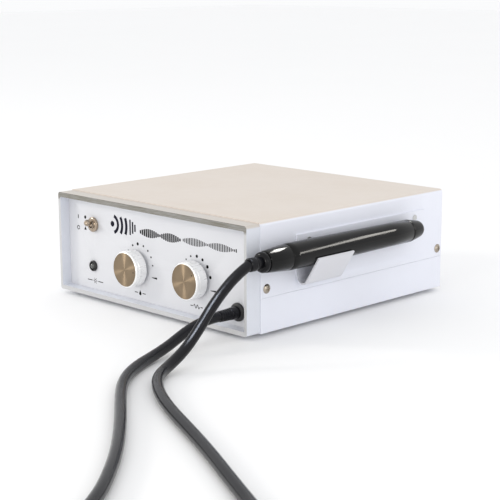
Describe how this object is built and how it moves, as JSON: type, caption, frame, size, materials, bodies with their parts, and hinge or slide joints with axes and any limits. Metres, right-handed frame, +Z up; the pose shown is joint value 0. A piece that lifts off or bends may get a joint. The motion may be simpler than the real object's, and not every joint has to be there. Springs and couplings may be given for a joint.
{
  "type": "ultrasonic scaler",
  "caption": "Benchtop ultrasonic scaler: sheet-metal control unit with dials, toggle and indicator lamp, and a pencil handpiece on a hose, resting in a bent side holder.",
  "frame": {"origin": "centre of the case's footprint, on the surface that the rubber feet rest on", "axes": "+Z up, the control panel faces -Y, the handpiece lies on the +X side, the mains and water inlets face +Y"},
  "size_m": [0.4866, 0.5495, 0.078],
  "materials": {
    "cover_cream": "fine satin powder coat, warm off-white",
    "case_white": "fine satin powder coat, off-white",
    "bezel_grey": "satin moulded plastic",
    "panel_white": "satin printed panel",
    "chrome": "polished",
    "knob_metal": "spun face, knurled rim",
    "screw_nickel": "nickel plated",
    "zinc_steel": "zinc plated",
    "black_steel": "blackened",
    "handpiece_black": "polished",
    "rubber_black": "satin",
    "foot_rubber": "matte",
    "plastic_black": "fine texture",
    "lens_smoke": "unlit lens",
    "tie_grey": "woven hook-and-loop tape",
    "brass": "machined",
    "switch_blue": "moulded",
    "tin_grey": "plated can",
    "copper": "enamelled copper",
    "ring_red": "matte",
    "tube_clear": "milky",
    "fuse_glass": "clear",
    "lamination": "varnished laminations",
    "winding_tape": "taped",
    "board_green": "solder mask",
    "heatsink_alu": "extruded",
    "package_black": "moulded",
    "sleeve_blue": "shrink sleeve"
  },
  "bodies": {
    "case": {"front_bezel": "bezel_grey", "front_panel": "panel_white", "top_cover": "cover_cream", "bottom_chassis": "case_white", "rear_panel": "case_white", "rubber_feet": "foot_rubber", "foot_screws": "zinc_steel", "cover_screws": "screw_nickel", "bezel_screws": "zinc_steel", "handpiece_holder": "case_white", "holder_rivets": "zinc_steel", "toggle_switch_body": "switch_blue", "toggle_fixing_nut": "chrome", "indicator_holder": "plastic_black", "indicator_lens": "lens_smoke", "water_valve_body": "brass", "water_valve_nut": "zinc_steel", "power_potentiometer": "tin_grey", "power_control_nut": "zinc_steel", "hose_gland": "plastic_black", "hose_gland_nut": "plastic_black", "hose_strain_relief": "rubber_black", "hose_gland_run": "rubber_black", "hose_handpiece_run": "rubber_black", "hose_coil": "rubber_black", "coil_tie": "tie_grey", "mains_inlet": "plastic_black", "mains_inlet_pins": "brass", "mains_inlet_screws": "zinc_steel", "fuse_holder": "plastic_black", "fuse_cartridge": "fuse_glass", "foot_control_jack": "plastic_black", "water_inlet_barb": "brass", "water_inlet_nut": "brass", "transformer_core": "lamination", "transformer_winding": "winding_tape", "circuit_board": "board_green", "board_standoffs": "brass", "heatsink": "heatsink_alu", "power_transistors": "package_black", "capacitors": "sleeve_blue", "solenoid_valve": "tin_grey", "water_tubes": "tube_clear"},
    "toggle_lever": {"toggle_lever": "chrome"},
    "water_knob": {"water_knob": "knob_metal", "water_knob_setscrew": "black_steel", "water_valve_stem": "brass"},
    "power_knob": {"power_knob": "knob_metal", "power_knob_setscrew": "black_steel", "power_shaft": "zinc_steel"},
    "handpiece": {"handpiece_collar": "rubber_black", "handpiece_rear_ring": "rubber_black", "handpiece_tail_cone": "handpiece_black", "handpiece_sheath": "handpiece_black", "handpiece_nose": "handpiece_black", "handpiece_coil": "copper", "insert_o_ring": "ring_red", "handpiece_water_tube": "tube_clear"},
    "fuse_cap": {"fuse_cap": "plastic_black"},
    "solenoid_plunger": {"solenoid_plunger": "zinc_steel"}
  },
  "joints": [
    {"name": "toggle_throw", "type": "hinge", "parent": "case", "child": "toggle_lever", "pos_m": [-0.0684, -0.0977, 0.0556], "axis": [1, 0, 0], "range_deg": [0, 50]},
    {"name": "water_dial", "type": "hinge", "parent": "case", "child": "water_knob", "pos_m": [-0.019, -0.1, 0.0308], "axis": [0, -1, 0], "range_deg": [-41, 229]},
    {"name": "power_dial", "type": "hinge", "parent": "case", "child": "power_knob", "pos_m": [0.0442, -0.1, 0.0324], "axis": [0, -1, 0], "range_deg": [-79, 191]},
    {"name": "handpiece_lift", "type": "slide", "parent": "case", "child": "handpiece", "axis": [0.2756, 0, 0.9613], "range_m": [0, 0.04]},
    {"name": "fuse_cap_turn", "type": "hinge", "parent": "case", "child": "fuse_cap", "pos_m": [-0.014, 0.1035, 0.036], "axis": [0, 1, 0], "range_deg": [0, 90]},
    {"name": "plunger_travel", "type": "slide", "parent": "case", "child": "solenoid_plunger", "axis": [0, 0, 1], "range_m": [0, 0.003], "stiffness_N_per_m": 300, "springref_m": -0.002}
  ]
}
